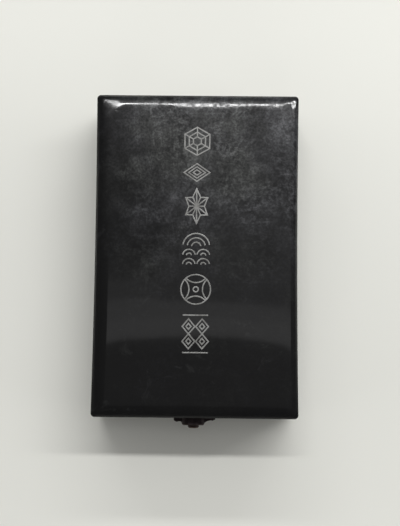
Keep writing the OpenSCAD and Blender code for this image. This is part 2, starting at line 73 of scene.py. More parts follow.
class Nodes:
    """A short way to write a material's node tree."""

    def __init__(self, name):
        self.mat = bpy.data.materials.new(name)
        self.mat.use_nodes = True
        self.tree = self.mat.node_tree
        self.tree.nodes.clear()
        self.out = self.add("ShaderNodeOutputMaterial")
        self.bsdf = self.add("ShaderNodeBsdfPrincipled")
        self.link(self.bsdf.outputs[0], self.out.inputs["Surface"])
        self.coord = self.add("ShaderNodeTexCoord").outputs["Object"]

    def add(self, kind, **props):
        n = self.tree.nodes.new(kind)
        for k, v in props.items():
            setattr(n, k, v)
        return n

    def link(self, a, b):
        self.tree.links.new(a, b)

    def put(self, socket, v):
        """Links a socket to another one, or sets its value."""
        if isinstance(v, bpy.types.NodeSocket):
            self.link(v, socket)
        else:
            socket.default_value = v

    def fill(self, node, **values):
        """Fills a node's sockets. An underscore stands for a space."""
        for k, v in values.items():
            self.put(node.inputs[k.replace("_", " ")], v)

    def set(self, **values):
        self.fill(self.bsdf, **values)

    def stretch(self, scale, turn=(0, 0, 0)):
        m = self.add("ShaderNodeMapping")
        self.fill(m, Scale=scale, Rotation=turn, Vector=self.coord)
        return m.outputs[0]

    def noise(self, scale, detail=4.0, rough=0.55, vector=None, distort=0.0):
        n = self.add("ShaderNodeTexNoise")
        self.fill(n, Scale=scale, Detail=detail, Roughness=rough, Distortion=distort)
        self.fill(n, Vector=vector or self.coord)
        return n.outputs["Fac"]

    def ramp(self, value, stops, smooth=False):
        r = self.add("ShaderNodeValToRGB")
        r.color_ramp.interpolation = "EASE" if smooth else "LINEAR"
        els = r.color_ramp.elements
        while len(els) < len(stops):
            els.new(0.5)
        for e, (pos, col) in zip(els, stops):
            e.position = pos
            e.color = rgba(col)
        self.link(value, r.inputs[0])
        return r.outputs[0]

    def rise(self, value, low, high):
        """0 up to low, and 1 from high on."""
        return self.ramp(value, [(low, 0.0), (high, 1.0)])

    def math(self, op, a, b, clamp=False):
        n = self.add("ShaderNodeMath", operation=op, use_clamp=clamp)
        for socket, v in zip(n.inputs, (a, b)):
            self.put(socket, v)
        return n.outputs[0]

    def times(self, a, b):
        return self.math("MULTIPLY", a, b)

    def plus(self, a, b):
        return self.math("ADD", a, b)

    def mix(self, fac, a, b):
        n = self.add("ShaderNodeMix", data_type="RGBA")
        self.put(n.inputs[0], fac)
        for socket, v in ((n.inputs[6], a), (n.inputs[7], b)):
            self.put(socket, v if isinstance(v, bpy.types.NodeSocket) else rgba(v))
        return n.outputs[2]

    def along(self, axis, low, high):
        """Goes from 0 to 1 as a coordinate goes from low to high, in metres."""
        split = self.add("ShaderNodeSeparateXYZ")
        self.link(self.coord, split.inputs[0])
        n = self.add("ShaderNodeMapRange", interpolation_type="SMOOTHSTEP")
        self.fill(n, From_Min=low, From_Max=high, Value=split.outputs[axis])
        return n.outputs[0]

    def blend(self, value, low, high):
        """Takes a value from 0 to 1 to one from low to high."""
        return self.plus(self.times(value, high - low), low)

    def attribute(self, name):
        return self.add("ShaderNodeAttribute", attribute_name=name).outputs["Fac"]

    def to(self, socket, name):
        self.link(socket, self.bsdf.inputs[name])

    def bump(self, *layers):
        """Each layer is (height, strength, distance in metres)."""
        last = None
        for height, strength, distance in layers:
            b = self.add("ShaderNodeBump")
            self.fill(b, Strength=strength, Distance=distance, Height=height)
            if last:
                self.fill(b, Normal=last)
            last = b.outputs[0]
        self.link(last, self.bsdf.inputs["Normal"])


def lacquer(name, bloom_and_painted_light_weight=1.0):
    """Glossy black lacquer: a mottled grey bloom with scuffs and rubbing marks, and worn arrises. The bloom
    thickens towards the back and thins on the left: this is in part real bloom and in part painted reflection
    and painted shade.
    """
    m = Nodes(name)
    bloom_and_painted_light_to_back = m.along("Y", -38 * mm, 62 * mm)
    cloud = m.rise(m.noise(34, 4, 0.62, distort=1.2), 0.36, 0.62)
    mottle = m.rise(m.noise(85, 6, 0.68, distort=0.8), 0.38, 0.66)
    scuffed = m.rise(m.noise(46, 3, 0.6, m.stretch((1, 1, 1), (0, 0, 1))), 0.42, 0.60)
    speck = m.rise(m.noise(430, 4, 0.7), 0.44, 0.60)
    scuff = m.mix(m.blend(scuffed, 0.2, 0.8), 0.8, speck)
    strokes = m.noise(330, 3, 0.6, m.stretch((0.16, 1.0, 1.0), (0, 0, 0.12)), 0.4)
    strokes = m.rise(strokes, 0.60, 0.74)
    streaks = m.noise(260, 3, 0.6, m.stretch((1.0, 0.2, 1.0), (0, 0, -0.1)), 2.0)
    streaks = m.rise(streaks, 0.58, 0.78)
    marks = m.mix(m.along("X", -12 * mm, 4 * mm), streaks, strokes)
    bloom_and_painted_light = m.times(m.blend(cloud, 0.35, 1.0), m.blend(mottle, 0.35, 1.15))
    bloom_and_painted_light = m.plus(m.times(bloom_and_painted_light, scuff), m.times(marks, 0.30))
    stipple = m.rise(m.noise(880, 2, 0.6), 0.40, 0.60)
    bloom_and_painted_light = m.times(bloom_and_painted_light, m.blend(stipple, 0.66, 1.38))
    # thicker towards the back: in part real bloom, in part painted reflection
    bloom_and_painted_light = m.times(bloom_and_painted_light, m.blend(bloom_and_painted_light_to_back, 0.05, 1.0))
    # thinner on the left: in part real bloom, in part painted shade
    bloom_and_painted_light = m.times(bloom_and_painted_light, m.blend(m.along("X", -49 * mm, -20 * mm), 0.10, 1.0))
    bloom_and_painted_light = m.times(bloom_and_painted_light, m.blend(m.along("Z", z_lid + 5 * mm, z_panel), 0.35, 1.0))  # cleaner walls
    smudge = m.rise(m.noise(75, 4, 0.7, distort=1.5), 0.60, 0.76)
    bloom_and_painted_light = m.math("ADD", bloom_and_painted_light, m.times(smudge, 0.16), clamp=True)
    wear = m.attribute("wear")
    nick = m.times(m.rise(wear, 0.55, 0.95),
                  m.rise(m.noise(900, 3, 0.7), 0.56, 0.66))
    tone = m.rise(m.noise(34, 2, 0.5), 0.4, 0.6)
    tint = m.mix(tone, (0.052, 0.053, 0.060), (0.052, 0.055, 0.052))
    # the colour: near-black lightened by the bloom and by its painted reflection
    base = m.mix(m.times(bloom_and_painted_light, bloom_and_painted_light_weight), (0.0035, 0.0035, 0.0038), tint)
    base = m.mix(m.times(nick, 0.6), base, (0.06, 0.045, 0.032))
    m.to(base, "Base Color")
    m.to(m.plus(m.times(bloom_and_painted_light, 0.10 * bloom_and_painted_light_weight), 0.34), "Roughness")
    rim = m.attribute("rim")  # the steep outermost strip, where the polish has gone
    sheen = m.plus(m.times(bloom_and_painted_light, 0.75 * bloom_and_painted_light_weight), 0.15)
    m.to(m.times(sheen, m.blend(rim, 1.0, 0.1)), "Specular IOR Level")
    m.set(IOR=1.5, Coat_IOR=1.5)
    back = m.times(m.along("Y", 58 * mm, 71 * mm), m.along("Z", z_top - 4 * mm, z_top - 2.5 * mm))
    band = m.times(back, m.along("X", -34 * mm, -22 * mm))
    pits = m.times(band, m.rise(m.noise(640, 3, 0.7), 0.47, 0.56))
    missing = m.math("MAXIMUM", m.times(nick, 0.9), m.times(pits, 0.75))
    coat = m.math("SUBTRACT", 1.0, missing)
    m.to(m.times(coat, m.blend(rim, 1.0, 0.15)), "Coat Weight")
    frost = m.times(band, m.rise(m.noise(620, 3, 0.7), 0.46, 0.62))
    frost = m.times(frost, m.ramp(m.noise(60, 2, 0.5), [(0.42, 0.25), (0.58, 1.0)]))
    left_end = m.times(m.along("X", -36 * mm, -41 * mm), back)
    frost = m.plus(frost, m.times(left_end, 0.75))
    dull = m.plus(m.times(bloom_and_painted_light, 0.12 * bloom_and_painted_light_weight), m.times(frost, 0.16 * bloom_and_painted_light_weight))
    m.to(m.plus(dull, 0.05), "Coat Roughness")
    m.bump(
        (m.noise(48, 2, 0.5), 0.10, 0.00012),
        (m.times(m.noise(1300, 2, 0.6), bloom_and_painted_light), 0.25, 0.00003),
        (m.times(marks, bloom_and_painted_light), -0.12, 0.00003),
    )
    return m.mat


def bronze(name):
    """Chemically darkened bronze: brown-black patina, browner where it is rubbed, fine casting grain."""
    m = Nodes(name)
    patch = m.noise(520, 5, 0.65)
    wear = m.attribute("wear")
    rub = m.math("MULTIPLY", wear, m.ramp(m.noise(1500, 3, 0.6), [(0.35, 0.2), (0.7, 1.0)]), clamp=True)
    col = m.mix(m.rise(patch, 0.3, 0.75), (0.016, 0.012, 0.013), (0.052, 0.040, 0.042))
    col = m.mix(rub, col, (0.19, 0.125, 0.085))
    m.to(col, "Base Color")
    m.set(Metallic=0.75)
    m.to(m.ramp(patch, [(0.25, 0.34), (0.8, 0.58)]), "Roughness")
    m.bump((m.noise(2600, 3, 0.6), 0.25, 0.00005), (m.noise(420, 2, 0.5), 0.2, 0.0001))
    return m.mat


def metal(name, low, high, rough=(0.25, 0.5), grain=(1, 1, 30)):
    """A drawn or pressed metal with a fine grain, uneven tarnish and dulled patches."""
    m = Nodes(name)
    t = m.noise(340, 4, 0.6)
    lines = m.noise(1400, 2, 0.5, m.stretch(grain))
    m.to(m.mix(m.rise(t, 0.3, 0.8), high, low), "Base Color")
    m.set(Metallic=1.0)
    r = m.math("ADD", m.ramp(t, [(0.3, rough[0]), (0.8, rough[1])]), m.times(lines, 0.12), clamp=True)
    m.to(r, "Roughness")
    m.bump((lines, 0.15, 0.00003), (t, 0.1, 0.00005))
    return m.mat


def silver_line(name):
    """Silver line inlay: matte, greyer in patches, dulled brown here and there."""
    m = Nodes(name)
    t = m.noise(160, 4, 0.65)
    f = m.noise(1900, 3, 0.6)
    col = m.mix(m.rise(t, 0.42, 0.70), (0.34, 0.34, 0.33), (0.18, 0.177, 0.168))
    col = m.mix(m.times(m.rise(f, 0.52, 0.68), 0.55), col, (0.10, 0.098, 0.09))
    m.to(col, "Base Color")
    m.set(Metallic=0.35)
    m.to(m.ramp(f, [(0.3, 0.38), (0.7, 0.62)]), "Roughness")
    m.bump((f, 0.35, 0.00003),)
    return m.mat


def velvet(name, deep, light):
    """Short-pile velvet: brushed patches that lie lighter or darker, a fine nap and strong sheen."""
    m = Nodes(name)
    brushed = m.noise(38, 4, 0.6, distort=1.4)
    nap = m.noise(2600, 2, 0.7)
    tuft = m.noise(700, 2, 0.6)
    col = m.mix(m.rise(brushed, 0.35, 0.66), deep, light)
    col = m.mix(m.ramp(nap, [(0.35, 0.55), (0.65, 0.0)]), col, tuple(c * 0.35 for c in deep))
    m.to(col, "Base Color")
    m.to(m.ramp(brushed, [(0.3, 0.82), (0.7, 0.95)]), "Roughness")
    m.set(Sheen_Weight=0.85, Sheen_Roughness=0.38, Sheen_Tint=(0.62, 0.45, 0.85, 1), Specular_IOR_Level=0.15)
    m.bump((nap, 0.8, 0.00018), (tuft, 0.45, 0.0003))
    return m.mat


def satin(name):
    """Cream silk satin: long floats along one way, faint slubs, soft gloss and age toning."""
    m = Nodes(name)
    warp = m.noise(3400, 2, 0.6, m.stretch((1.0, 0.05, 1.0)))
    weft = m.noise(2600, 2, 0.6, m.stretch((0.08, 1.0, 1.0)))
    tone = m.noise(26, 4, 0.6)
    slub = m.rise(m.noise(240, 3, 0.6, m.stretch((0.12, 1.6, 1.0))), 0.60, 0.72)
    col = m.mix(m.rise(tone, 0.36, 0.7), (0.76, 0.71, 0.60), (0.66, 0.59, 0.46))
    col = m.mix(m.times(m.rise(warp, 0.4, 0.65), 0.22), col, (0.50, 0.44, 0.33))
    col = m.mix(m.times(slub, 0.18), col, (0.86, 0.82, 0.72))
    m.to(col, "Base Color")
    m.to(m.ramp(warp, [(0.3, 0.34), (0.7, 0.50)]), "Roughness")
    m.set(Anisotropic=0.55, Sheen_Weight=0.25, Sheen_Roughness=0.4, Specular_IOR_Level=0.55)
    m.bump((warp, 0.30, 0.00005), (weft, 0.12, 0.00004), (slub, 0.15, 0.00005))
    return m.mat


def board(name):
    """Grey-brown pressed board with fibres."""
    m = Nodes(name)
    f = m.noise(900, 4, 0.7, m.stretch((1, 0.3, 1)))
    m.to(m.mix(m.rise(f, 0.35, 0.68), (0.30, 0.22, 0.14), (0.44, 0.35, 0.24)), "Base Color")
    m.to(m.ramp(f, [(0.3, 0.8), (0.7, 0.95)]), "Roughness")
    m.bump((f, 0.4, 0.0001),)
    return m.mat


def lip_black(name):
    """Satin black lacquer on thin strips, polished in patches."""
    m = Nodes(name)
    c = m.noise(90, 4, 0.6)
    grain = m.noise(700, 2, 0.5, m.stretch((0.08, 0.08, 1.0)))
    m.to(m.mix(m.rise(c, 0.4, 0.75), (0.006, 0.006, 0.006), (0.020, 0.017, 0.015)), "Base Color")
    m.to(m.ramp(c, [(0.3, 0.24), (0.75, 0.42)]), "Roughness")
    m.bump((grain, 0.12, 0.00004), (c, 0.08, 0.0001))
    return m.mat


black = lacquer("black_lacquer")
black_sides = lacquer("black_lacquer_base", bloom_and_painted_light_weight=0.8)
dark_bronze = bronze("dark_bronze")
hinge_brass = metal("hinge_brass", (0.20, 0.13, 0.055), (0.46, 0.33, 0.15), grain=(30, 1, 1))
spring_wire = metal("spring_wire", (0.20, 0.19, 0.18), (0.52, 0.52, 0.53), rough=(0.2, 0.35))
silver = silver_line("silver_inlay")
violet = velvet("violet_velvet", (0.030, 0.010, 0.060), (0.085, 0.036, 0.150))
cream = satin("cream_silk")
pressed_board = board("pressed_board")
lip_mat = lip_black("lip_lacquer")


# ----- mesh helpers -----

same_point = 1e-7  # metres: closer points than this are one point
crease = 35  # degrees: edges that turn more than this shade sharp


def put_in_scene(name, data):
    ob = bpy.data.objects.new(name, data)
    bpy.context.scene.collection.objects.link(ob)
    return ob


def mesh_object(name, bm):
    """Puts a bmesh in the scene as an object with its normals outwards, and frees it."""
    bmesh.ops.recalc_face_normals(bm, faces=bm.faces)
    me = bpy.data.meshes.new(name)
    bm.to_mesh(me)
    bm.free()
    return put_in_scene(name, me)


def shaped(ob):
    """The mesh that an object's modifiers make. They are then taken off."""
    dg = bpy.context.evaluated_depsgraph_get()
    me = bpy.data.meshes.new_from_object(ob.evaluated_get(dg))
    ob.modifiers.clear()
    return me


def join_body(ob, body, slot, *replaced):
    """Makes an object ride on a body instead of CAD nodes. The slot is not used."""
    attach(ob, body)
    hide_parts(*replaced)
    return ob


def piece(name, bm, material, body, slot, replaced, sharp=crease):
    """Turns a bmesh into a finished piece that rides on a body."""
    bmesh.ops.remove_doubles(bm, verts=bm.verts, dist=same_point)
    bmesh.ops.dissolve_degenerate(bm, edges=bm.edges, dist=same_point)
    ob = mesh_object(name, bm)
    finish_mesh(ob, material, sharp)
    return join_body(ob, body, slot, *replaced)


def finish_mesh(ob, material, sharp):
    ob.data.materials.clear()
    ob.data.materials.append(material)
    for p in ob.data.polygons:
        p.use_smooth = True
        p.material_index = 0
    ob.data.set_sharp_from_angle(angle=math.radians(sharp))


def bridge(bm, ring_a, ring_b):
    """Quads between two rings of the same length."""
    n = len(ring_a)
    for i in range(n):
        k = (i + 1) % n
        quad = [ring_a[i], ring_a[k], ring_b[k], ring_b[i]]
        if len(set(quad)) == 4:
            bm.faces.new(quad)


def bridge_all(bm, rings):
    for a, b in zip(rings, rings[1:]):
        bridge(bm, a, b)


def fill_hole(bm, z):
    """Closes the open edge that lies at a height."""
    edges = [e for e in bm.edges if e.is_boundary and abs(e.verts[0].co.z - z) < same_point]
    bmesh.ops.edgeloop_fill(bm, edges=edges)


def new_ring(bm, points):
    return [bm.verts.new(p) for p in points]


def clamp(v, limit):
    return max(-limit, min(limit, v))


def unit(v):
    return max(0.0, min(1.0, v))


def polar(r, deg):
    return (r * math.cos(math.radians(deg)), r * math.sin(math.radians(deg)))


def round_rectangle(x0, y0, x1, y1, r, steps):
    """The outline of a rectangle with rounded corners, each of that many steps."""
    pts = []
    corners = ((x1 - r, y1 - r), (x0 + r, y1 - r), (x0 + r, y0 + r), (x1 - r, y0 + r))
    for quarter, (cx, cy) in enumerate(corners):
        for k in range(steps + 1):
            dx, dy = polar(r, 90 * quarter + 90 / steps * k)
            pts.append((cx + dx, cy + dy))
    return pts


# slope of the lid's rolled edge in degrees, at distances in mm in from the outline
rim_slopes = [(0, 88), (0.1, 72), (0.3, 58), (0.6, 48), (1.0, 40), (1.5, 32)]
mid_slopes = rim_slopes + [(2.0, 26), (2.5, 21), (3.0, 16), (3.4, 12)]
roll_slopes = mid_slopes + [(3.8, 10), (4.6, 7.7), (5.2, 5.6), (6.0, 3), (6.6, 1.2), (7.5, 0)]
# the middle of the back edge, and its left end
broad_slopes = mid_slopes + [(4.2, 9), (4.6, 7.1), (6.3, 5.5), (7.0, 2.5), (7.8, 0.5), (8.4, 0)]
flat_slopes = rim_slopes + [(2.0, 24), (2.6, 14), (3.2, 8.5), (3.75, 7.7), (6.9, 6.7), (7.4, 2), (8.4, 0)]
roll_w = 8.4 * mm
drop_step = 0.02  # mm between the values of a drop table


def between(table, q):
    """Reads a value out of a list of points, along straight lines."""
    for (x0, y0), (x1, y1) in zip(table, table[1:]):
        if q <= x1:
            return y0 + (y1 - y0) * (q - x0) / (x1 - x0)
    return table[-1][1]


def drop_table(slopes):
    """How far the surface lies below the flat top, in mm, from the outline inwards."""
    n = round(slopes[-1][0] / drop_step)
    total, out = 0.0, [0.0]
    for i in range(n, 0, -1):
        total += math.tan(math.radians(between(slopes, (i - 0.5) * drop_step))) * drop_step
        out.append(total)
    return out[::-1]


roll_drop, broad_drop, flat_drop = (drop_table(t) for t in (roll_slopes, broad_slopes, flat_slopes))


def read_drop(table, d_mm):
    q = min(max(d_mm, 0.0) / drop_step, len(table) - 1)
    i = min(int(q), len(table) - 2)
    return (table[i] + (table[i + 1] - table[i]) * (q - i)) * mm


def ease(a, b, x):
    t = unit((x - a) / (b - a))
    return t * t * (3 - 2 * t)


def edge_lines(half, step):
    """Grid lines across a width: close together in the rolled edge, even in the middle."""
    inset = [0, 0.03, 0.1, 0.22, 0.38, 0.58, 0.8, 1.05, 1.35, (half_y - y_pin) / mm - 0.08]
    inset += [2.05, 2.4, 2.75, 3.1, 3.4, 3.7, 4.0, 4.3, 4.65, 5.0, 5.4, 5.8, 6.2, 6.6, 7.0, 7.4, 7.9, 8.4]
    mid = half - roll_w
    n = max(2, round(2 * mid / step))
    left = [-half + d * mm for d in inset]
    return left + [-mid + 2 * mid * i / n for i in range(1, n)] + [-x for x in reversed(left)]


def inset_of(x, y):
    """How far a point in plan lies in from the case's sides."""
    return min(half_x - abs(x), half_y - abs(y))


def round_corner(x, y):
    """Moves a grid point near an upright corner onto the rounded contour for its inset."""
    dx, dy = half_x - abs(x), half_y - abs(y)
    d, e = min(dx, dy), max(dx, dy)
    r = (corner_r + 0.28 * d) * (1 - ease(7.9 * mm, 8.9 * mm, d))
    if r <= 1e-6 or e - d >= r:
        return x, y
    phi = math.radians(45) * (1 - (e - d) / r)
    near, far = d + r - r * math.cos(phi), d + r - r * math.sin(phi)
    a, b = (near, far) if dx <= dy else (far, near)
    return math.copysign(half_x - a, x), math.copysign(half_y - b, y)


def bowed(x, y):
    """The long sides have drawn in a little at mid length."""
    draw = (0.5 if x < 0 else 0.62) * mm * (1 - (y / half_y) ** 2)
    return x * (1 - draw / half_x)


# the back right corner is rubbed down to a small flat
facet_x, facet_y = half_x - 2.5 * mm, half_y - 10.2 * mm
facet_slope_x, facet_slope_y = math.tan(math.radians(18)), math.tan(math.radians(4))
facet_sink = read_drop(roll_drop, 2.5) + 0.47 * mm


def lid_height(x, y, d=None):
    """The lid's upper surface. d is how far in from the outline, where it isn't simply the nearer side."""
    if d is None:
        d = inset_of(x, y)
    bulge = crown * ((1 - (x / half_x) ** 2) * (1 - (y / half_y) ** 2) - 1)
    near_back = ease(half_y - 10 * mm, half_y - 9 * mm, y)
    uneven = 1 + 0.03 * noise.noise(Vector((x / (13 * mm), y / (13 * mm), 5.0)))
    fall = read_drop(roll_drop, d / mm / uneven)
    broad = near_back * ease(-17 * mm, -8 * mm, x)
    broad *= 1 - 0.4 * ease(14 * mm, 26 * mm, x) + 0.6 * ease(33 * mm, 41 * mm, x)
    rubbed = near_back * (1 - ease(-37.2 * mm, -36.2 * mm, x))
    for share, table in ((broad, broad_drop), (rubbed, flat_drop)):
        if share > 0:
            fall += (read_drop(table, d / mm / uneven) - fall) * share
    calm = ease(0.5 * mm, 4 * mm, d)
    wave = 0.012 * mm * noise.noise(Vector((x / (26 * mm), y / (26 * mm), 0.3)))
    wave += 0.0035 * mm * noise.noise(Vector((x / (6 * mm), y / (6 * mm), 2.3)))
    z = z_top + bulge - fall + calm * (wave - 0.016 * mm)
    facet = z_top - facet_sink + (facet_x - x) * facet_slope_x + (facet_y - y) * facet_slope_y
    blur = 0.02 * mm
    gap = max(blur - abs(z - facet), 0.0) / blur
    return min(z, facet) - gap * gap * blur / 4


def outline_ring(xs, ys):
    """The outline's points in order, each with its outward direction."""
    nx, ny = len(xs), len(ys)
    idx = [(i, 0) for i in range(nx - 1)] + [(nx - 1, j) for j in range(ny - 1)]
    idx += [(i, ny - 1) for i in range(nx - 1, 0, -1)] + [(0, j) for j in range(ny - 1, 0, -1)]
    pts = [round_corner(xs[i], ys[j]) for i, j in idx]
    pts = [(bowed(x, y), y) for x, y in pts]
    n = len(pts)
    out = []
    for k in range(n):
        ax, ay = pts[k - 1]
        bx, by = pts[(k + 1) % n]
        t = Vector((bx - ax, by - ay)).normalized()
        out.append((t.y, -t.x))
    return idx, pts, out


def ring_at(bm, pts, out, inset, z_of):
    return new_ring(bm, ((x - nx * inset, y - ny * inset, z_of(x, y)) for (x, y), (nx, ny) in zip(pts, out)))


def inner_rings(bm, outer, pts, z_joint, walls):
    """Rings from the joint of lid and base to the inside. walls lists (half width, half length, z)."""
    rings = [new_ring(bm, ((v.co.x, min(v.co.y, y_pin + vee_gap), z_joint) for v in outer))]
    for wall_x, wall_y, z in walls:
        rings.append(new_ring(bm, ((clamp(x, wall_x), clamp(y, wall_y), z) for x, y in pts)))
    return rings


def cut_with(ob, cutters):
    """Takes simple cutting solids out of a mesh, and leaves no modifier behind."""
    for c in cutters:
        mod = ob.modifiers.new("cut", "BOOLEAN")
        mod.operation, mod.solver, mod.object = "DIFFERENCE", "EXACT", c
    old = ob.data
    ob.data = shaped(ob)
    bpy.data.meshes.remove(old)
    for c in cutters:
        bpy.data.objects.remove(c)


def cutter_box(lo, hi):
    bm = bmesh.new()
    bmesh.ops.create_cube(bm, size=1)
    for v in bm.verts:
        v.co = Vector([(a + b) / 2 + (b - a) * c for a, b, c in zip(lo, hi, v.co)])
    return mesh_object("cutter", bm)


def cutter_along_x(x, y, z, radius, length):
    bm = bmesh.new()
    bmesh.ops.create_cone(bm, segments=48, radius1=radius, radius2=radius, depth=length, cap_ends=True,
                          matrix=Matrix.Translation((x, y, z)) @ Matrix.Rotation(math.pi / 2, 4, "Y"))
    return mesh_object("cutter", bm)


def hinge_seats(up):
    """Seats for both hinges' leaves and knuckles in a back wall."""
    cutters = []
    side_gap, knuckle_room, hinge_room = 0.05 * mm, 1.75 * mm, 19.2 * mm
    part, z = ("lid", z_lid) if up > 0 else ("base", z_rim)
    for side in ("left", "right"):
        lo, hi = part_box(f"hinge_{side}_{part}_leaf")
        cutters.append(cutter_box((lo.x - side_gap, lo.y - mm, z - mm), (hi.x + side_gap, y_pin, z + mm)))
        cutters.append(cutter_along_x((lo.x + hi.x) / 2, y_pin, z_pin, knuckle_room, hinge_room))
    return cutters


def clasp_mortise():
    """The room in the front wall for the catch, the button's stub and the spring."""
    lo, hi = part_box("clasp_button")
    x, z = (lo.x + hi.x) / 2, (lo.z + hi.z) / 2
    half_w, depth = 4 * mm, 2.6 * mm
    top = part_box("clasp_base_plate")[1].z - mm
    around = [(x - half_w, top)]
    for i in range(25):
        a = math.pi * (1 + i / 24)
        around.append((x + half_w * math.cos(a), z + half_w * math.sin(a)))
    around.append((x + half_w, top))
    bm = bmesh.new()
    front, back = (new_ring(bm, ((px, y, pz) for px, pz in around)) for y in (-half_y - mm, -half_y + depth))
    bridge(bm, front, back)
    bm.faces.new(front)
    bm.faces.new(list(reversed(back)))
    return mesh_object("cutter", bm)


def mark(ob, name, of_point):
    """Stores a value from 0 to 1 at each vertex, such as how worn it is."""
    att = ob.data.attributes.new(name, "FLOAT", "POINT")
    for v, d in zip(ob.data.vertices, att.data):
        d.value = unit(of_point(v.co))


# ----- lid shell -----

def vee_height(up, y):
    """Where the V between the two back walls meets the outside, at the lid (up 1) or the base (up -1)."""
    rise = max(0.0, y - y_pin) * stop_slope
    return max(z_lid, z_pin + rise) if up > 0 else min(z_rim, z_pin - rise)


def make_lid_shell():
    xs, ys = edge_lines(half_x, 1.6 * mm), edge_lines(half_y, 2.0 * mm)
    nx, ny = len(xs), len(ys)
    bm = bmesh.new()
    grid = {}
    for i, x in enumerate(xs):
        for j, y in enumerate(ys):
            px, py = round_corner(x, y)
            d = inset_of(x, y)
            grid[i, j] = bm.verts.new((bowed(px, py), py, lid_height(px, py, d)))
    for i in range(nx - 1):
        for j in range(ny - 1):
            a, b, c, d = grid[i, j], grid[i + 1, j], grid[i + 1, j + 1], grid[i, j + 1]
            if i == j or nx - 2 - i == ny - 2 - j:
                faces = ((a, b, c), (a, c, d))
            elif i == ny - 2 - j or nx - 2 - i == j:
                faces = ((a, b, d), (b, c, d))
            else:
                faces = ((a, b, c, d),)
            for corners in faces:
                bm.faces.new(corners)
    idx, pts, out = outline_ring(xs, ys)
    last = [grid[i, j] for i, j in idx]
    foot = {}

    def drop(t):
        return lambda x, y: (1 - t) * foot[x, y] + t * (vee_height(1, y) + 0.3 * mm)

    for (i, j), p in zip(idx, pts):
        foot[p] = grid[i, j].co.z
    rings = [ring_at(bm, pts, out, 0, drop(t)) for t in (0.25, 0.5, 0.75, 1.0)]
    for inset, up in ((0.04, 0.12), (0.12, 0.04), (0.3, 0.0)):
        rings.append(ring_at(bm, pts, out, inset * mm, lambda x, y, u=up: vee_height(1, y) + u * mm))
    eased = 0.25 * mm  # the inner arris
    walls = [(lid_in_x + eased, lid_in_y + eased, z_lid)]
    walls += [(lid_in_x, lid_in_y, z) for z in (z_lid + eased, z_panel)]
    rings += inner_rings(bm, rings[-1], pts, z_lid, walls)
    bridge_all(bm, [last] + rings)
    bmesh.ops.remove_doubles(bm, verts=bm.verts, dist=same_point)
    fill_hole(bm, z_panel)
    ob = piece("lid_shell", bm, black, "lid", "black_lacquer",
               ("lid_top_panel", "lid_front_wall", "lid_back_wall", "lid_left_wall", "lid_right_wall"))
    cut_with(ob, hinge_seats(1))
    finish_mesh(ob, black, crease)

    def worn(p):
        d = inset_of(p.x, p.y)
        arris = max(0.0, 1 - abs(p.z - z_lid - 0.1 * mm) / (0.5 * mm)) if d < 0.6 * mm else 0.0
        corner = max(0.0, 1 - math.hypot(half_x - abs(p.x), half_y - abs(p.y)) / (3.0 * mm))
        return max(arris, corner)

    def steep(p):
        d = min(half_x - abs(p.x) - 0.3 * mm, half_y - abs(p.y))
        return 1 - ease(0.5 * mm, 1.2 * mm, d) if p.z > z_panel else 0.0

    mark(ob, "wear", worn)
    mark(ob, "rim", steep)


def make_base_shell():
    xs, ys = edge_lines(half_x, 4 * mm), edge_lines(half_y, 4 * mm)
    floor_top, foot_h = 3 * mm, 0.9 * mm
    bm = bmesh.new()
    _, pts, out = outline_ring(xs, ys)
    rings = []
    for inset, z in ((0.9, 0.0), (0.35, 0.1), (0.1, 0.35), (0.0, 0.9)):
        rings.append(ring_at(bm, pts, out, inset * mm, lambda x, y, q=z: q * mm))
    for t in (0.35, 0.7):
        rings.append(ring_at(bm, pts, out, 0, lambda x, y, s=t: foot_h + s * (z_rim - foot_h) * 0.8))
    for inset, down in ((0.0, 0.3), (0.04, 0.12), (0.12, 0.04), (0.3, 0.0)):
        rings.append(ring_at(bm, pts, out, inset * mm, lambda x, y, u=down: vee_height(-1, y) - u * mm))
    rings += inner_rings(bm, rings[-1], pts, z_rim, [(base_in_x, base_in_y, z) for z in (z_rim, floor_top)])
    bridge_all(bm, rings)
    bmesh.ops.remove_doubles(bm, verts=bm.verts, dist=same_point)
    for z in (0.0, floor_top):
        fill_hole(bm, z)
    ob = piece("base_shell", bm, black_sides, "base", "black_lacquer",
               ("base_floor_board", "base_front_wall", "base_back_wall", "base_left_wall", "base_right_wall"))
    cut_with(ob, hinge_seats(-1) + [clasp_mortise()])
    finish_mesh(ob, black_sides, crease)

    def worn(p):
        d = inset_of(p.x, p.y)
        foot = max(0.0, 1 - p.z / (1.2 * mm)) if d < 1.2 * mm else 0.0
        arris = max(0.0, 1 - abs(p.z - z_rim + 0.1 * mm) / (0.5 * mm)) if d < 0.6 * mm else 0.0
        return max(foot, arris)

    mark(ob, "wear", worn)


make_lid_shell()
make_base_shell()


# ----- silver inlay: raised half-round lines -----

line_w = 0.75 * mm
# a line's section: across it, in line widths, and up from the lid, in mm
ridge_profile = [(-0.5, -0.10), (-0.42, 0.0), (-0.24, 0.035), (0.0, 0.05)]
ridge_profile += [(-u, h) for u, h in reversed(ridge_profile[:-1])]


def ridge(bm, points, closed):
    """A raised line along points (in mm, in plan), with mitred corners."""
    pts = [Vector(p) * mm for p in points]
    n = len(pts)
    rows = []
    for i, p in enumerate(pts):
        before = pts[i - 1] if closed or i > 0 else None
        after = pts[(i + 1) % n] if closed or i < n - 1 else None
        dirs = [d.normalized() for d in ((p - before) if before is not None else None,
                                         (after - p) if after is not None else None) if d is not None]
        t = sum(dirs, Vector((0, 0))).normalized()
        side = Vector((-t.y, t.x))
        stretch = 1 / max(0.35, side.dot(Vector((-dirs[0].y, dirs[0].x))))
        row = []
        for u, h in ridge_profile:
            q = p + side * (u * line_w * stretch)
            row.append(bm.verts.new((q.x, q.y, lid_height(q.x, q.y) + h * mm)))
        rows.append(row)
    for i in range(n if closed else n - 1):
        bridge(bm, rows[i], rows[(i + 1) % n])
    if not closed:
        bm.faces.new(rows[0])
        bm.faces.new(list(reversed(rows[-1])))


def arc_points(r, a0, a1, n=28):
    return [polar(r, a0 + (a1 - a0) * i / n) for i in range(n + 1)]


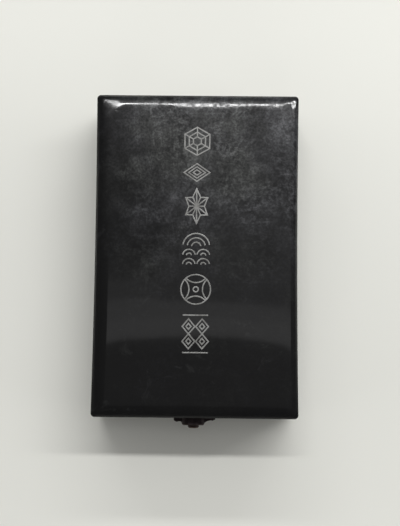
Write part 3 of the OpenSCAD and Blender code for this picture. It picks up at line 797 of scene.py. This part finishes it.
def make_inlay():
    bm = bmesh.new()

    def line(points, x, y, closed=False):
        if not closed and len(points) == 2:
            (ax, ay), (bx, by) = points
            steps = max(1, round(math.hypot(bx - ax, by - ay)))
            points = [(ax + (bx - ax) * i / steps, ay + (by - ay) * i / steps) for i in range(steps + 1)]
        ridge(bm, [(px + x, py + y) for px, py in points], closed)

    y = 54.2  # three nested hexagons
    for r in (2.2, 4.5, 6.9):
        line([polar(r, a) for a in range(30, 390, 60)], 0, y, True)
    for a in range(30, 390, 60):
        line([polar(2.2, a), polar(6.9, a)], 0, y)
    y = 39.0  # flat diamonds
    for k in (0.3, 0.65, 1.0):
        line([(6.2 * k, 0), (0, 4.3 * k), (-6.2 * k, 0), (0, -4.3 * k)], 0, y, True)
    y = 22.7  # hemp leaf
    tips = [(6 * math.cos(math.radians(a)), 8.3 * math.sin(math.radians(a))) for a in range(30, 390, 60)]
    notches = [(3.7 * math.cos(math.radians(a)), 4.9 * math.sin(math.radians(a))) for a in range(60, 420, 60)]
    line([p for pair in zip(tips, notches) for p in pair], 0, y, True)
    for px, py in tips[:3] + notches[:3]:
        line([(px, py), (-px, -py)], 0, y)
    y = 2.4  # waves
    for r in (2.2, 4.3, 6.4):
        line(arc_points(r, 10, 170), 0, y + 0.8)
    for x in (-3.4, 3.4):
        for r in (1.2, 3.0):
            for dy in (-3.4, -7.8):
                line(arc_points(r, 10, 170, 16), x, y + dy)
    y = -17.0  # linked rings
    line([polar(7, a) for a in range(0, 360, 6)], 0, y, True)
    line([polar(1.2, a) for a in range(0, 360, 20)], 0, y, True)
    for turn in (0, 90, 180, 270):
        c = polar(9.4, turn)
        line(arc_points(6.2, turn + 134, turn + 226, 20), c[0], y + c[1])
    y = -38.0  # lattice between bars
    for dy in (-8.8, 8.8):
        line([(-6, dy), (6, dy)], 0, y)
    for x in (-3.2, 3.2):
        for dy in (-3.5, 3.5):
            for k in (0.4, 1.0):
                line([(3 * k, 0), (0, 3.5 * k), (-3 * k, 0), (0, -3.5 * k)], x, y + dy, True)
    piece("silver_lines", bm, silver, "lid", "silver_inlay", ("lid_inlay",), 50)


make_inlay()


# ----- clasp -----

def casting(name, node, body):
    """A copy of one of the clasp's CAD plates whose arrises are rounded like a casting's."""
    ob = put_in_scene(name, frame["nodes"][node].data.copy())
    weld = bmesh.new()
    weld.from_mesh(ob.data)
    bmesh.ops.remove_doubles(weld, verts=weld.verts, dist=1e-6)
    weld.to_mesh(ob.data)
    weld.free()
    mod = ob.modifiers.new("remesh", "REMESH")
    mod.mode, mod.voxel_size, mod.adaptivity = "VOXEL", 0.14 * mm, 0.0
    sm = ob.modifiers.new("smooth", "SMOOTH")
    sm.factor, sm.iterations = 0.5, 5
    ob.data = shaped(ob)
    finish_mesh(ob, dark_bronze, 60)
    return join_body(ob, body, "dark_bronze", node)


def lathe(name, profile, x, z, body, slot, material, replaced):
    """A turned piece about an axis along -Y. profile lists (radius, distance out of the front face)."""
    segments = 72
    bm = bmesh.new()
    rings = []
    for r, s in profile:
        if r < 1e-9:
            rings.append([bm.verts.new((x, -half_y - s, z))])
        else:
            rings.append([bm.verts.new((x + r * math.cos(a), -half_y - s, z + r * math.sin(a)))
                          for a in (2 * math.pi * k / segments for k in range(segments))])
    for a, b in zip(rings, rings[1:]):
        if len(a) == 1 or len(b) == 1:
            tip, ring = (a[0], b) if len(a) == 1 else (b[0], a)
            for k in range(segments):
                bm.faces.new((tip, ring[k], ring[(k + 1) % segments]))
        else:
            bridge(bm, a, b)
    return piece(name, bm, material, body, slot, replaced, 40)


def wear_by_bend(ob, low, high):
    """Wear from how sharply the surface turns at each vertex: none below low, full above high."""
    me = ob.data
    total = [0.0] * len(me.vertices)
    count = [0] * len(me.vertices)
    normals = [v.normal.copy() for v in me.vertices]
    for e in me.edges:
        a, b = e.vertices
        apart = me.vertices[a].co - me.vertices[b].co
        bend = (normals[a] - normals[b]).dot(apart)
        k = bend / max(apart.length_squared, 1e-14) * mm
        for i in (a, b):
            total[i] += k
            count[i] += 1
    att = me.attributes.new("wear", "FLOAT", "POINT")
    for i, d in enumerate(att.data):
        d.value = unit((total[i] / max(1, count[i]) - low) / (high - low))


for ob in (casting("clasp_base_casting", "clasp_base_plate", "base"),
           casting("clasp_lid_casting", "clasp_lid_plate", "lid")):
    wear_by_bend(ob, 1.2, 3.5)

b_lo, b_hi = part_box("clasp_button")
flange = 3.1  # radius of the flange behind the boss
button_x, button_z = (b_lo.x + b_hi.x) / 2, (b_lo.z + b_hi.z) / 2
stub, tip = (-half_y - b_hi.y) / mm, (-half_y - b_lo.y) / mm
shoulder = (-half_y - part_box("clasp_catch")[0].y) / mm - 0.5  # front of the flange, behind the catch plate
button_profile = [(0, stub), (0.85, stub), (0.9, stub + 0.05), (0.9, shoulder - 0.8)]
button_profile += [(flange - 0.1, shoulder - 0.8), (flange, shoulder - 0.7), (flange, shoulder - 0.1)]
button_profile += [(flange - 0.1, shoulder), (2.7, shoulder)]
for r, back in ((2.7, 1.0), (2.66, 0.75), (2.55, 0.5), (2.38, 0.3), (2.15, 0.16), (1.95, 0.11), (1.86, 0.13),
                (1.80, 0.18), (1.72, 0.18), (1.66, 0.12), (1.5, 0.07), (1.1, 0.03), (0.55, 0.005), (0, 0)):
    button_profile.append((r, tip - back))
button = lathe("push_button", [(r * mm, s * mm) for r, s in button_profile], button_x, button_z, "button",
               "dark_bronze", dark_bronze, ("clasp_button",))


def rubbed_rim(p):
    """The button's face is rubbed in a ring, and the rest of it evenly."""
    if -half_y - p.y <= (tip - 0.6) * mm:
        return 0.15
    return 1 - abs(math.hypot(p.x - button_x, p.z - button_z) - 2.4 * mm) / (0.5 * mm)


mark(button, "wear", rubbed_rim)


# ----- velvet tray -----

badge_r, badge_y = 27 * mm, -24 * mm
ribbon_hw, ribbon_end, ribbon_r = 20.5 * mm, 58 * mm, 3 * mm
tray_lo, tray_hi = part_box("tray_velvet")


def recess_outline(grow):
    """The recess's outline, grown by grow, always with the same number of points."""
    r, hw, end, cr = badge_r + grow, ribbon_hw + grow, ribbon_end + grow, max(0.4 * mm, ribbon_r + grow)
    open_half = math.asin(min(1.0, hw / r))
    y_join = badge_y + r * math.cos(open_half)
    pts = []
    n_arc, n_side, n_cr, n_end = 120, 34, 8, 24
    for i in range(n_arc):
        a = open_half + (2 * math.pi - 2 * open_half) * i / n_arc
        pts.append((r * math.sin(a), badge_y + r * math.cos(a)))
    for i in range(n_side):
        pts.append((-hw, y_join + (end - cr - y_join) * i / n_side))
    for i in range(n_cr):
        a = math.pi / 2 * i / n_cr
        pts.append((-hw + cr - cr * math.cos(a), end - cr + cr * math.sin(a)))
    for i in range(n_end):
        pts.append((-(hw - cr) + 2 * (hw - cr) * i / n_end, end))
    for i in range(n_cr):
        a = math.pi / 2 * i / n_cr
        pts.append((hw - cr + cr * math.sin(a), end - cr + cr * math.cos(a)))
    for i in range(n_side):
        pts.append((hw, end - cr - (end - cr - y_join) * i / n_side))
    for _ in range(3):  # eases the two inner corners, as cloth does
        pts = [((pts[k - 1][0] + 2 * x + pts[(k + 1) % len(pts)][0]) / 4,
                (pts[k - 1][1] + 2 * y + pts[(k + 1) % len(pts)][1]) / 4) for k, (x, y) in enumerate(pts)]
    return pts


def make_tray():
    z1 = tray_hi.z
    skin = 0.7 * mm
    rolled = 1.3 * mm
    turned_down = 3 * mm
    bm = bmesh.new()
    profile = [(2.4 * mm - skin, 0.0)]
    for i in range(9):
        a = math.radians(90 * i / 8)
        profile.append((rolled - skin - rolled * math.sin(a), -rolled * (1 - math.cos(a))))
    floor_z = tray_lo.z + skin
    profile += [(-skin, -4 * mm), (-skin, -7 * mm), (-skin, floor_z - z1 + 0.8 * mm),
                (-skin - 0.25 * mm, floor_z - z1 + 0.22 * mm), (-skin - 0.8 * mm, floor_z - z1)]
    rings = []
    for k, (grow, dz) in enumerate(profile):
        ring = []
        for x, y in recess_outline(grow):
            wob = noise.noise(Vector((x / (7 * mm), y / (7 * mm), dz / (5 * mm))))
            uneven = 0.08 * mm * wob if 3 < k < len(profile) - 1 else 0
            out = Vector((x, y - 10 * mm)).normalized() * uneven
            ring.append(bm.verts.new((x + out.x, y + out.y, z1 + dz)))
        rings.append(ring)
    bridge_all(bm, rings)
    bm.faces.new(rings[-1])
    # outer edge, turned down inside the lip
    hx, hy = tray_hi.x, tray_hi.y
    cr = 0.9 * mm
    lines_x = [-hx + cr + (2 * hx - 2 * cr) * i / 30 for i in range(31)]
    lines_y = [-hy + cr + (2 * hy - 2 * cr) * i / 50 for i in range(51)]
    loop = [(x, -hy, 0, -1) for x in lines_x] + [(hx, y, 1, 0) for y in lines_y]
    loop += [(x, hy, 0, 1) for x in reversed(lines_x)] + [(-hx, y, -1, 0) for y in reversed(lines_y)]
    edge_rings = []
    for inset, dz in ((0.9, 0.0), (0.55, -0.03), (0.25, -0.14), (0.08, -0.35), (0.0, -0.8),
                      (0.0, -turned_down / mm)):
        moved = ((x - nx * inset * mm, y - ny * inset * mm, z1 + dz * mm) for x, y, nx, ny in loop)
        edge_rings.append(new_ring(bm, moved))
    bridge_all(bm, edge_rings)
    edges = []
    for ring in (rings[0], edge_rings[0]):
        edges += [bm.edges.get(pair) for pair in zip(ring, ring[1:] + ring[:1])]
    bmesh.ops.triangle_fill(bm, use_beauty=True, edges=edges)
    # a narrow return under the turned-down edge. The cloth stays an open sheet.
    fold = 0.4 * mm
    hem = zip(edge_rings[-1], loop)
    under = new_ring(bm, ((v.co.x - fold * nx, v.co.y - fold * ny, v.co.z) for v, (_, _, nx, ny) in hem))
    bridge(bm, edge_rings[-1], under)
    cover = piece("velvet_tray_cover", bm, violet, "base", "violet_velvet", ("tray_velvet",), 60)


make_tray()


# ----- padded pieces -----

def puffed(name, outline, z_low, z_high, pressure, cap):
    """A cloth-inflated pad that starts from a flat block. No point moves further than the cap."""
    frames = 20
    bm = bmesh.new()
    bottom, top = (new_ring(bm, ((x, y, z) for x, y in outline)) for z in (z_low, z_high))
    bm.faces.new(list(reversed(bottom)))
    bm.faces.new(top)
    bridge(bm, bottom, top)
    ob = mesh_object(name, bm)
    mod = ob.modifiers.new("remesh", "REMESH")
    mod.mode, mod.voxel_size = "VOXEL", 1.3 * mm
    ob.data = shaped(ob)
    start = [v.co.copy() for v in ob.data.vertices]
    cloth = ob.modifiers.new("cloth", "CLOTH")
    settings = cloth.settings
    settings.quality, settings.mass = 6, 0.2
    settings.tension_stiffness = settings.compression_stiffness = 12
    settings.shear_stiffness, settings.bending_stiffness = 4, 0.4
    settings.use_pressure, settings.uniform_pressure_force = True, pressure
    settings.effector_weights.gravity = 0
    cloth.point_cache.frame_start, cloth.point_cache.frame_end = 1, frames
    for f in range(1, frames + 1):
        bpy.context.scene.frame_set(f)
    ob.data = shaped(ob)
    for v, before in zip(ob.data.vertices, start):
        moved = v.co - before
        if moved.length > cap:
            v.co = before + moved * (cap / moved.length)
    bpy.context.scene.frame_set(1)
    return ob


def press(ob, lo, hi, top, bottom):
    """Keeps a pad inside the room it has, and flat where it rests on something."""
    for v in ob.data.vertices:
        v.co.x = min(max(v.co.x, lo.x), hi.x)
        v.co.y = min(max(v.co.y, lo.y), hi.y)
        v.co.z = max(min(v.co.z, top), bottom)


def finish_pad(ob, material, body, slot, node):
    sm = ob.modifiers.new("smooth", "SMOOTH")
    sm.factor, sm.iterations = 0.5, 4
    sub = ob.modifiers.new("subdivide", "SUBSURF")
    sub.levels = sub.render_levels = 1
    ob.data = shaped(ob)
    finish_mesh(ob, material, 80)
    join_body(ob, body, slot, node)


pad_lo, pad_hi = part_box("lid_satin_pad")
gap = 0.4 * mm
outline = round_rectangle(pad_lo.x + gap, pad_lo.y + gap, pad_hi.x - gap, pad_hi.y - gap, 2 * mm, 6)
silk_pad = puffed("silk_pad", outline, pad_lo.z + 0.7 * mm, pad_hi.z - 0.2 * mm, 4, 1.2 * mm)
for v in silk_pad.data.vertices:
    c = v.co
    # the face that shows is crowned, and gathered a little along its edges
    if c.z < (pad_lo.z + pad_hi.z) / 2:
        to_side, to_end = pad_hi.x - abs(c.x), pad_hi.y - abs(c.y)
        d, along = (to_side, c.y) if to_side < to_end else (to_end, c.x)
        gather = max(0.0, 1 - d / (16 * mm)) * math.sin(along / (1.3 * mm) + 2.5 * noise.noise(c / (12 * mm)))
        c.z += 1.1 * mm * max(0.0, 1 - d / (17 * mm)) ** 2 + 0.3 * mm * gather - 0.2 * mm
        c.z += 0.16 * mm * noise.noise(Vector((c.x / (15 * mm), c.y / (18 * mm), 1.7)))
press(silk_pad, pad_lo, pad_hi, pad_hi.z, pad_lo.z - 0.3 * mm)
finish_pad(silk_pad, cream, "lid", "cream_silk", "lid_satin_pad")

pad_lo, pad_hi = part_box("recess_pad")
outline = recess_outline(-1.7 * mm)
cushion = puffed("recess_cushion", outline, pad_lo.z + 0.1 * mm, pad_hi.z - 0.6 * mm, 3, 0.9 * mm)
press(cushion, pad_lo, pad_hi, pad_hi.z, pad_lo.z)
finish_pad(cushion, violet, "base", "violet_velvet", "recess_pad")


# ----- silk side linings: card strips wrapped in silk -----

def wrapped_strip(node):
    """A thin card wrapped in silk: rounded arrises and slight ripples along its length."""
    lo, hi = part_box(node)
    along_x = (hi.x - lo.x) > (hi.y - lo.y)
    length = (hi.x - lo.x) if along_x else (hi.y - lo.y)
    thick = (hi.y - lo.y) if along_x else (hi.x - lo.x)
    height = hi.z - lo.z
    n = max(24, round(length / (1.6 * mm)))
    section = round_rectangle(0, 0, thick, height, 0.34 * mm, 4)
    bm = bmesh.new()
    rows = []
    inward = -1 if (lo.y if along_x else lo.x) > 0 else 1
    for i in range(n + 1):
        t = length * i / n
        end = min(1.0, min(t, length - t) / (0.5 * mm))
        row = []
        for a, z in section:
            face = 1.0 if (a > thick / 2) == (inward > 0) else 0.0
            ripple = 0.05 * mm * face * noise.noise(Vector((t / (3.2 * mm), z / (2 * mm), 4.0)))
            q = (a - thick / 2) * (0.8 + 0.2 * end) + thick / 2 - inward * max(0.0, ripple)
            zz = (z - height / 2) * (0.94 + 0.06 * end) + height / 2
            dx, dy = (t, q) if along_x else (q, t)
            row.append(bm.verts.new((lo.x + dx, lo.y + dy, lo.z + zz)))
        rows.append(row)
    bridge_all(bm, rows)
    bm.faces.new(rows[0])
    bm.faces.new(list(reversed(rows[-1])))
    return piece(node.replace("lid_", "silk_"), bm, cream, "lid", "cream_silk", (node,), 60)


for node in ("lid_front_lining", "lid_back_lining", "lid_left_lining", "lid_right_lining"):
    wrapped_strip(node)


# ----- CAD nodes that stay -----

def dress(node, material, bevel=0.0):
    """Gives a CAD node its material, and eases its arrises with a modifier."""
    ob = frame["nodes"][node]
    ob.data.materials.clear()
    ob.data.materials.append(material)
    if bevel:
        mod = ob.modifiers.new("eased", "BEVEL")
        mod.width, mod.segments, mod.limit_method = bevel, 3, "ANGLE"
        mod.angle_limit = math.radians(40)


for node in ("lip_front_strip", "lip_back_strip", "lip_left_strip", "lip_right_strip"):
    dress(node, lip_mat, 0.35 * mm)
dress("tray_block", pressed_board)
dress("lid_lining_board", cream)  # the board is covered with the same silk
for node in frame["nodes"]:
    if node.startswith("hinge_"):
        dress(node, hinge_brass)
for node in ("clasp_hook", "clasp_catch", "clasp_base_nails", "clasp_lid_nails"):
    dress(node, dark_bronze)
dress("clasp_spring", spring_wire)


# ----- floor, light and camera -----

backdrop_colour, backdrop_strength = (0.80, 0.80, 0.76), 0.95


def make_floor():
    """A pale floor that fades into the backdrop. A hole under the case lets a view from below see it."""
    m = Nodes("floor_paper")
    far = m.add("ShaderNodeVectorMath", operation="LENGTH")
    m.link(m.coord, far.inputs[0])
    fade = m.ramp(far.outputs["Value"], [(0.45, 0.0), (1.0, 1.0)], smooth=True)
    paper = m.mix(m.rise(m.noise(3, 3, 0.5), 0.3, 0.7), (0.80, 0.80, 0.75), (0.775, 0.775, 0.725))
    m.to(m.mix(fade, paper, 0.0), "Base Color")
    m.to(m.times(fade, backdrop_strength), "Emission Strength")
    m.set(Roughness=0.85, Specular_IOR_Level=0.2, Emission_Color=(*backdrop_colour, 1))
    m.mat.cycles.emission_sampling = "NONE"
    bm = bmesh.new()
    corners = ((-1, -1), (1, -1), (1, 1), (-1, 1))
    rings = []
    for hx, hy in ((half_x - 2.5 * mm, half_y - 2.5 * mm), (0.4, 0.4), (3.0, 3.0)):
        rings.append(new_ring(bm, ((sx * hx, sy * hy, -0.02 * mm) for sx, sy in corners)))
    bridge_all(bm, rings)
    ob = mesh_object("floor", bm)
    ob.data.materials.append(m.mat)


def area_light(name, place, aim, width, height, power, glossy=False):
    """A soft rectangular light that the camera can't see. Only a glossy one shows in reflections."""
    light = bpy.data.lights.new(name, "AREA")
    light.shape, light.size, light.size_y, light.energy = "RECTANGLE", width, height, power
    ob = put_in_scene(name, light)
    ob.location = place
    ob.rotation_euler = (Vector(aim) - Vector(place)).to_track_quat("-Z", "Y").to_euler()
    ob.visible_camera = False
    ob.visible_glossy = glossy


def panel(name, zenith, azimuth, width, height, power):
    """A panel aimed at the case. Azimuth 0 is behind it, and 90 to its right."""
    z, a = math.radians(zenith), math.radians(azimuth)
    distance = 1.6
    spot = Vector((math.sin(z) * math.sin(a), math.sin(z) * math.cos(a), math.cos(z))) * distance
    area_light(name, spot, (0, 0, 0.03), width, height, power)


make_floor()
# two long ceiling tubes behind the case, running left to right
area_light("near_tube", (0.75, 0.89, 1.5), (0.75, 0, 0.03), 2.5, 0.09, 21.5, True)
area_light("far_tube", (0, 2.29, 1.5), (0, 0, 0.03), 3.0, 0.12, 29)
# the dim ceiling that the front half of the lid mirrors up to its front edge
area_light("ceiling_glow", (0.39, 0.27, 1.5), (0.39, 0.27, 0), 1.02, 0.47, 0.23, True)
area_light("ceiling_front", (0.3, -0.24, 1.5), (0.3, -0.24, 0), 1.2, 0.37, 0.07, True)
for k, power in enumerate((0.085, 0.07, 0.04, 0.015)):  # its front edge, brightest at the front
    y = 0.046 * k - 0.025
    area_light(f"ceiling_edge_{k}", (0.3, y, 1.5), (0.3, y, 0), 1.2, 0.046, power, True)
# the room's walls and ceiling
panel("right_wall", 72, 90, 1.4, 0.5, 7.7)
panel("left_wall", 72, -90, 1.4, 0.5, 5.6)
panel("back_left_wall", 72, -45, 1.2, 0.5, 4.2)
panel("back_right_wall", 72, 45, 1.2, 0.5, 4.5)
panel("front_wall", 72, 180, 1.4, 0.5, 3.5)
panel("upper_back_right", 45, 50, 0.8, 0.8, 1.0)
panel("ceiling", 10, 0, 0.3, 0.3, 0.42)
panel("ceiling_right", 20, 70, 0.5, 0.5, 0.32)
# lights the underside, and the floor hides it from everything else
area_light("below", (0.3, -0.5, -1.2), (0, 0, 0), 1.2, 1.2, 9)

world = bpy.data.worlds.new("room")
bpy.context.scene.world = world
world.use_nodes = True
tree = world.node_tree
sky = tree.nodes["Background"]
sky.inputs[0].default_value, sky.inputs[1].default_value = (1.0, 0.99, 0.965, 1), 0.08
backdrop = tree.nodes.new("ShaderNodeBackground")  # what is seen past the floor: plain and pale
backdrop.inputs[0].default_value, backdrop.inputs[1].default_value = (*backdrop_colour, 1), backdrop_strength
ray, choice = (tree.nodes.new(k) for k in ("ShaderNodeLightPath", "ShaderNodeMixShader"))
tree.links.new(ray.outputs["Is Camera Ray"], choice.inputs[0])
tree.links.new(sky.outputs[0], choice.inputs[1])
tree.links.new(backdrop.outputs[0], choice.inputs[2])
tree.links.new(choice.outputs[0], tree.nodes["World Output"].inputs[0])

camera_data = bpy.data.cameras.new("camera")
camera_data.sensor_width = 36
camera_data.lens = 61.6
camera = put_in_scene("camera", camera_data)
cam_target = Vector((1.88 * mm, -4.15 * mm, 32.2 * mm))
cam_distance = 0.4300
cam_azimuth, cam_elevation, cam_roll = math.radians(-7.03), math.radians(84.80), math.radians(-6.43)
level = math.cos(cam_elevation)
forward = Vector((level * math.sin(cam_azimuth), level * math.cos(cam_azimuth), -math.sin(cam_elevation)))
right = forward.cross(Vector((0, 0, 1))).normalized()
up = right.cross(forward)
cos_roll, sin_roll = math.cos(cam_roll), math.sin(cam_roll)
right, up = right * cos_roll + up * sin_roll, up * cos_roll - right * sin_roll
camera.matrix_world = Matrix.Translation(cam_target - forward * cam_distance) @ Matrix(
    (right, up, -forward)).transposed().to_4x4()
camera_data.clip_start, camera_data.clip_end = 0.01, 50
bpy.context.scene.camera = camera

bpy.context.scene.view_settings.view_transform = "Standard"
bpy.context.scene.view_settings.look = "None"
